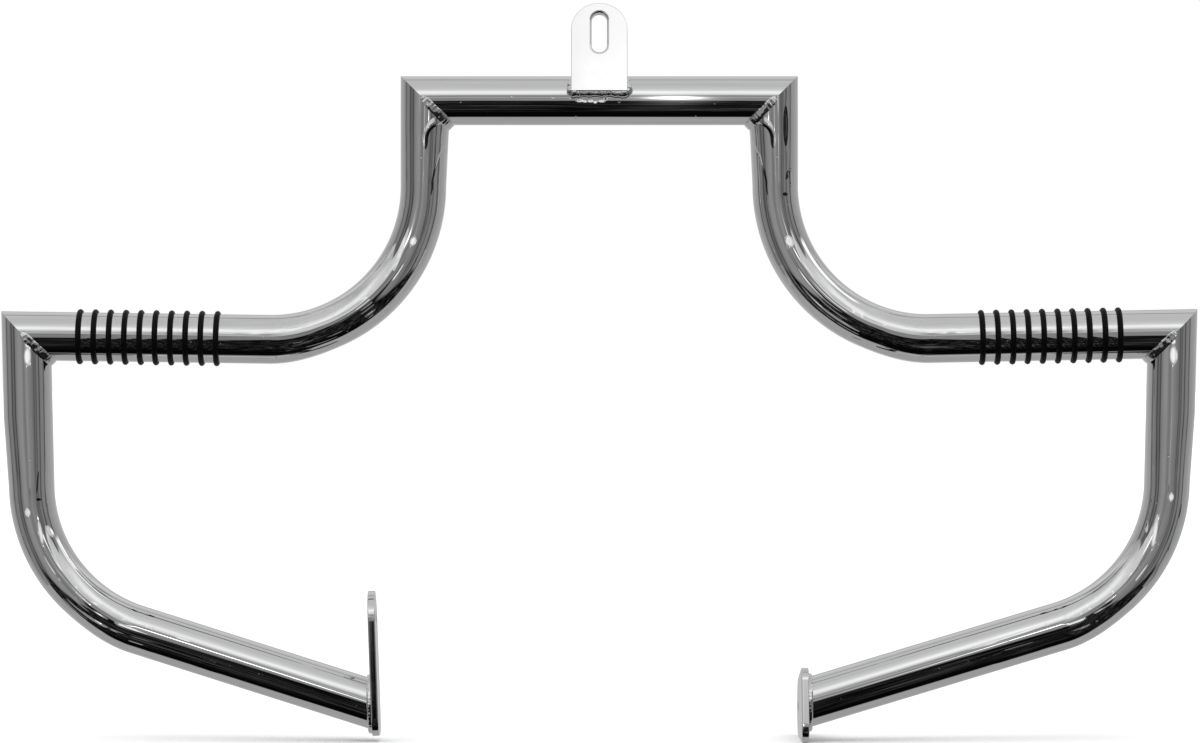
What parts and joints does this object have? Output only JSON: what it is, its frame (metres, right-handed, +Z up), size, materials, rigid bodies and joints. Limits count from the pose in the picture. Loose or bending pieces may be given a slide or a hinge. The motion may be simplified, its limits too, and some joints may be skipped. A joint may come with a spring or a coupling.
{
  "type": "motorcycle crash bar",
  "caption": "Chromed tube crash bar for a motorcycle: mitred, bent frame with foot rests in rubber rings, a slotted top tab and two lower bracket plates.",
  "frame": {"origin": "centre of the top tab's slot, on the tab's back face", "axes": "+X to the right seen from the front, +Y to the back, +Z up"},
  "size_m": [0.7777, 0.0878, 0.4792],
  "materials": {
    "chrome": "polished",
    "rubber": "soft sheen"
  },
  "bodies": {
    "root": {"crossbar": "chrome", "top_tab": "chrome", "tab_weld": "chrome", "left_shoulder_tube": "chrome", "left_lower_tube": "chrome", "left_bracket": "chrome", "left_upper_weld": "chrome", "left_corner_weld": "chrome", "left_bracket_weld": "chrome", "right_shoulder_tube": "chrome", "right_lower_tube": "chrome", "right_bracket": "chrome", "right_upper_weld": "chrome", "right_corner_weld": "chrome", "right_bracket_weld": "chrome", "left_ring_1": "rubber", "left_ring_2": "rubber", "left_ring_3": "rubber", "left_ring_4": "rubber", "left_ring_5": "rubber", "left_ring_6": "rubber", "left_ring_7": "rubber", "left_ring_8": "rubber", "left_ring_9": "rubber", "left_ring_10": "rubber", "right_ring_1": "rubber", "right_ring_2": "rubber", "right_ring_3": "rubber", "right_ring_4": "rubber", "right_ring_5": "rubber", "right_ring_6": "rubber", "right_ring_7": "rubber", "right_ring_8": "rubber", "right_ring_9": "rubber", "right_ring_10": "rubber"}
  },
  "joints": []
}
